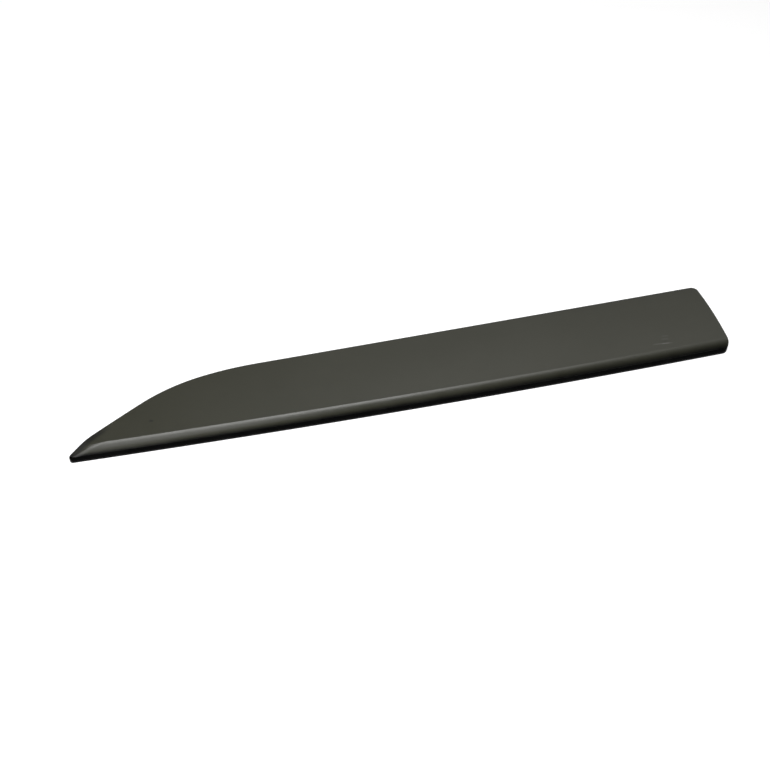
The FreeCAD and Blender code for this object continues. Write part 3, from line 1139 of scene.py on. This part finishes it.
    @staticmethod
    def combine(wiring: Wiring, operation: str, shapes: list[Socket]) -> Socket:
        """Unite, intersect or cut solids.

        Args:
            wiring: Tree to add to.
            operation: The node's name for what is done.
            shapes: The solids; a cut takes the others out of the first.

        Returns:
            What is left, as geometry.
        """
        values = {"Self Intersection": True}
        node = wiring.add("GeometryNodeMeshBoolean", values, operation=operation, solver="EXACT")
        if operation == "DIFFERENCE":
            wiring.feed(node.inputs[0], shapes[0])
            shapes = shapes[1:]
        for shape in shapes:
            wiring.feed(node.inputs[1], shape)
        return node.outputs[0]

    def build(self, material: bpy.types.Material) -> bpy.types.Object:
        """Fill the hollow with ribs and bosses, sunk a little into the shell.

        Args:
            material: Finish of the ribs.

        Returns:
            The ribs as one plain mesh.
        """
        core = self.shell.core(self.sunk)
        tree, names = self.tree(material)
        modifier = core.modifiers.new("ribs", "NODES")
        modifier.node_group = tree
        for name, value in self.sizes().items():
            modifier[names[name]] = value
        depsgraph = bpy.context.evaluated_depsgraph_get()
        core.data = bpy.data.meshes.new_from_object(core.evaluated_get(depsgraph))
        core.modifiers.remove(modifier)
        core.data.shade_flat()
        return core


@dataclass(frozen=True)
class SoftLamp:
    """Rectangular soft lamp that hangs level over the moulding, in metres and watts."""

    name: str
    centre: Pair
    size: Pair
    power: float
    height: float = 1.2

    def build(self) -> None:
        """Hang the lamp."""
        data = bpy.data.lights.new(self.name, "AREA")
        data.shape = "RECTANGLE"
        data.size, data.size_y = self.size
        data.energy = self.power
        place(self.name, data).location = (*self.centre, self.height)


@dataclass
class Studio:
    """Floor, lamps, world and the camera at the photograph's viewing angle."""

    floor_size: float = 40.0
    floor_colour: Colour = (0.82, 0.82, 0.82, 1.0)
    floor_roughness: float = 0.9
    floor_glow: float = 0.46
    white: Colour = (1.0, 1.0, 1.0, 1.0)
    lamps: tuple[SoftLamp, ...] = (
        SoftLamp("overhead_softbox", (-0.24, -0.16), (1.02, 0.42), 9.5),
        SoftLamp("right_softbox", (0.445, -0.16), (0.35, 0.42), 0.9),
        SoftLamp("front_softbox", (-0.45, -0.80), (0.84, 0.80), 5.1),
        SoftLamp("left_softbox", (-0.64, -0.72), (0.50, 0.64), 1.8),
        SoftLamp("far_left_softbox", (-0.94, -1.75), (0.56, 1.10), 5.6),
    )
    # along an axis of the view's direction: where the sky's light changes, and its two levels
    sky: tuple[tuple[str, Pair, Pair], ...] = (
        ("X", (-0.24, 0.19), (0.0, 1.15)),
        ("X", (0.2, 0.55), (1.0, 0.75)),
        ("Y", (-0.65, 0.05), (0.0, 1.0)),
        ("Z", (0.5, 0.85), (0.4, 1.0)),
    )
    azimuth: float = -12.77
    elevation: float = 46.6
    distance: float = 0.7247
    target: tuple[float, float, float] = (-0.0185, -0.00764, 0.0)
    focal_px: float = 1000.0
    frame_px: float = 770.0
    clip: Pair = (0.01, 50.0)

    def build(self) -> None:
        """Make the floor, the lamps, the world and the camera."""
        self.floor()
        for lamp in self.lamps:
            lamp.build()
        self.world()
        self.camera()

    def floor(self) -> None:
        """Lay a pale floor under the moulding, which looks white and keeps the shadow."""
        half = self.floor_size / 2
        mesh = bpy.data.meshes.new("floor")
        corners = [(-half, -half, 0.0), (half, -half, 0.0), (half, half, 0.0), (-half, half, 0.0)]
        mesh.from_pydata(corners, [], [(0, 1, 2, 3)])
        pale, wiring, shader = new_material("pale_floor", 0.0)
        shader.inputs["Base Color"].default_value = self.floor_colour
        shader.inputs["Roughness"].default_value = self.floor_roughness
        rays = wiring.add("ShaderNodeLightPath").outputs
        seen = wiring.math("MAXIMUM", rays["Is Camera Ray"], rays["Is Glossy Ray"])
        seen = wiring.math("MAXIMUM", seen, rays["Is Transmission Ray"])
        shader.inputs["Emission Color"].default_value = self.white
        wiring.feed(shader.inputs["Emission Strength"], wiring.math("MULTIPLY", seen, self.floor_glow))
        mesh.materials.append(pale)
        plane = place("floor", mesh)

    def world(self) -> None:
        """Light the studio from above and behind, dark in front and to the left."""
        world = bpy.data.worlds.new("studio")
        bpy.context.scene.world = world
        world.use_nodes = True
        wiring = Wiring(world.node_tree)
        direction = wiring.add("ShaderNodeTexCoord").outputs["Generated"]
        split = wiring.add("ShaderNodeSeparateXYZ", {0: direction}).outputs
        strength = 1.0
        for axis, span, levels in self.sky:
            strength = wiring.math("MULTIPLY", strength, wiring.ramp(split[axis], *span, *levels))
        background = world.node_tree.nodes["Background"]
        background.inputs["Color"].default_value = self.white
        wiring.feed(background.inputs["Strength"], strength)

    def camera(self) -> None:
        """Place the camera where the photograph was taken from."""
        data = bpy.data.cameras.new("camera")
        data.lens = data.sensor_width * self.focal_px / self.frame_px
        data.clip_start, data.clip_end = self.clip
        camera = place("camera", data)
        turn, rise = math.radians(self.azimuth), math.radians(self.elevation)
        level = math.cos(rise)
        back = Vector((math.sin(turn) * level, -math.cos(turn) * level, math.sin(rise)))
        camera.location = Vector(self.target) + back * self.distance
        camera.rotation_mode = "QUATERNION"
        camera.rotation_quaternion = (-back).to_track_quat("-Z", "Y")
        bpy.context.scene.camera = camera


def main() -> None:
    """Build the moulding's surface, dress it, build the studio and report each piece."""
    bpy.context.scene.view_settings.view_transform = "Standard"
    low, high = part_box(NodeName.MOULDING.value)
    length, width = ((high[axis] - low[axis]) / MM for axis in (0, 1))
    shell = Shell(Skin(Outline(length, width)))
    plastic = BarePlastic().material()
    surface = shell.build()
    for finish in (SatinPaint().material(), PaintedShadeFoot().material(), plastic):
        surface.data.materials.append(finish)
    ribs = Ribs(shell).build(plastic)
    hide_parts(NodeName.MOULDING.value)
    for piece in (surface, ribs):
        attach(piece, NodeName.BODY.value)
        LOG.info("%s: %d faces", piece.name, len(piece.data.polygons))
    Studio().build()


if __name__ == "__main__":
    main()
